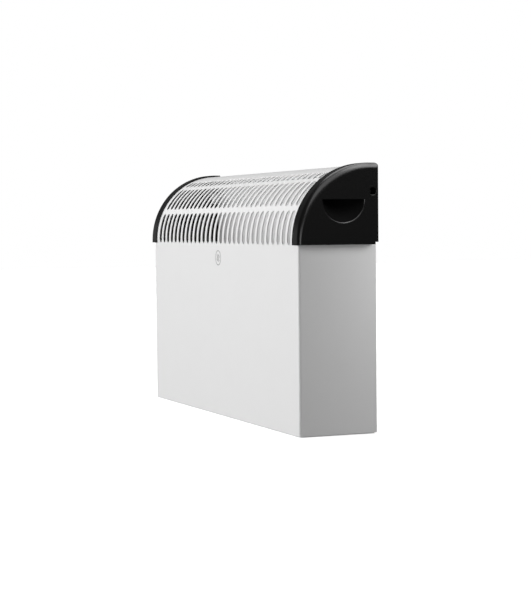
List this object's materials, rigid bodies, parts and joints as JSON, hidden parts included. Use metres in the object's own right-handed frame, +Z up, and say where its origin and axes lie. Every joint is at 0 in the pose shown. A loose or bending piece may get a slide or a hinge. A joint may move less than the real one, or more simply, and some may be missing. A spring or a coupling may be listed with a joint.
{
  "type": "fan convector heater",
  "caption": "Wall-hung fan convector heater: folded white steel casing, curved slotted grille, black end caps with grip recesses, finned elements above a cross-flow fan.",
  "frame": {"origin": "middle of the bottom of the heater's box, level with the lower edge of the casing", "axes": "+X along the width to the right as seen from the front, -Y out of the front panel, +Y to the wall, +Z up"},
  "size_m": [0.666, 0.1284, 0.4],
  "materials": {
    "white_steel": "white powder coat, semi-gloss",
    "grey_steel": "light grey coated sheet",
    "black_plastic": "fine-textured black moulding",
    "dark_plastic": "smooth dark moulding",
    "zinc_steel": "zinc-plated steel",
    "fin_metal": "bright rolled fins",
    "white_ceramic": "unglazed ceramic",
    "brass": "plain brass",
    "copper_winding": "enamelled winding",
    "lamp_lens": "clear red lens",
    "wire_insulation": "silicone sleeve",
    "rubber_mount": "moulded rubber",
    "motor_laminations": "stacked steel sheets"
  },
  "bodies": {
    "heater": {"casing": "white_steel", "back_panel": "grey_steel", "bottom_grille": "grey_steel", "left_end_cap": "black_plastic", "right_end_cap": "black_plastic", "cap_screws": "zinc_steel", "back_panel_screws": "zinc_steel", "cord_gland": "dark_plastic", "front_heat_shield": "zinc_steel", "rear_heat_shield": "zinc_steel", "partition_plate": "zinc_steel", "right_support": "zinc_steel", "lower_heating_element": "fin_metal", "upper_heating_element": "fin_metal", "element_insulators": "white_ceramic", "element_terminals": "brass", "element_hanger": "zinc_steel", "thermal_cutout": "dark_plastic", "fan_rear_guide": "zinc_steel", "fan_tongue": "zinc_steel", "fan_end_plates": "zinc_steel", "fan_bearing": "rubber_mount", "motor_stator": "motor_laminations", "motor_coil": "copper_winding", "motor_straps": "zinc_steel", "motor_bushes": "brass", "motor_bolts": "zinc_steel", "control_tray": "black_plastic", "thermostat_body": "white_ceramic", "thermostat_nut": "zinc_steel", "switch_bodies": "black_plastic", "switch_pins": "zinc_steel", "indicator_lamp": "lamp_lens", "terminal_block": "white_ceramic", "terminal_screws": "brass", "internal_wires": "wire_insulation"},
    "fan_rotor": {"fan_impeller": "dark_plastic", "fan_shaft": "zinc_steel", "motor_rotor": "motor_laminations"},
    "knob": {"thermostat_knob": "dark_plastic", "thermostat_spindle": "zinc_steel"},
    "low_heat_key": {"low_heat_rocker": "dark_plastic"},
    "high_heat_key": {"high_heat_rocker": "dark_plastic"},
    "fan_key": {"fan_rocker": "dark_plastic"}
  },
  "joints": [
    {"name": "fan_spin", "type": "hinge", "parent": "heater", "child": "fan_rotor", "pos_m": [0, 0, 0.085], "axis": [1, 0, 0], "continuous": true},
    {"name": "thermostat_turn", "type": "hinge", "parent": "heater", "child": "knob", "pos_m": [-0.317, 0, 0.222], "axis": [1, 0, 0], "range_deg": [0, 270]},
    {"name": "low_heat_rock", "type": "hinge", "parent": "heater", "child": "low_heat_key", "pos_m": [-0.312, 0, 0.172], "axis": [0, 0, 1], "range_deg": [0, 16]},
    {"name": "high_heat_rock", "type": "hinge", "parent": "heater", "child": "high_heat_key", "pos_m": [-0.312, 0, 0.152], "axis": [0, 0, 1], "range_deg": [0, 16]},
    {"name": "fan_switch_rock", "type": "hinge", "parent": "heater", "child": "fan_key", "pos_m": [-0.312, 0, 0.132], "axis": [0, 0, 1], "range_deg": [0, 16]}
  ]
}
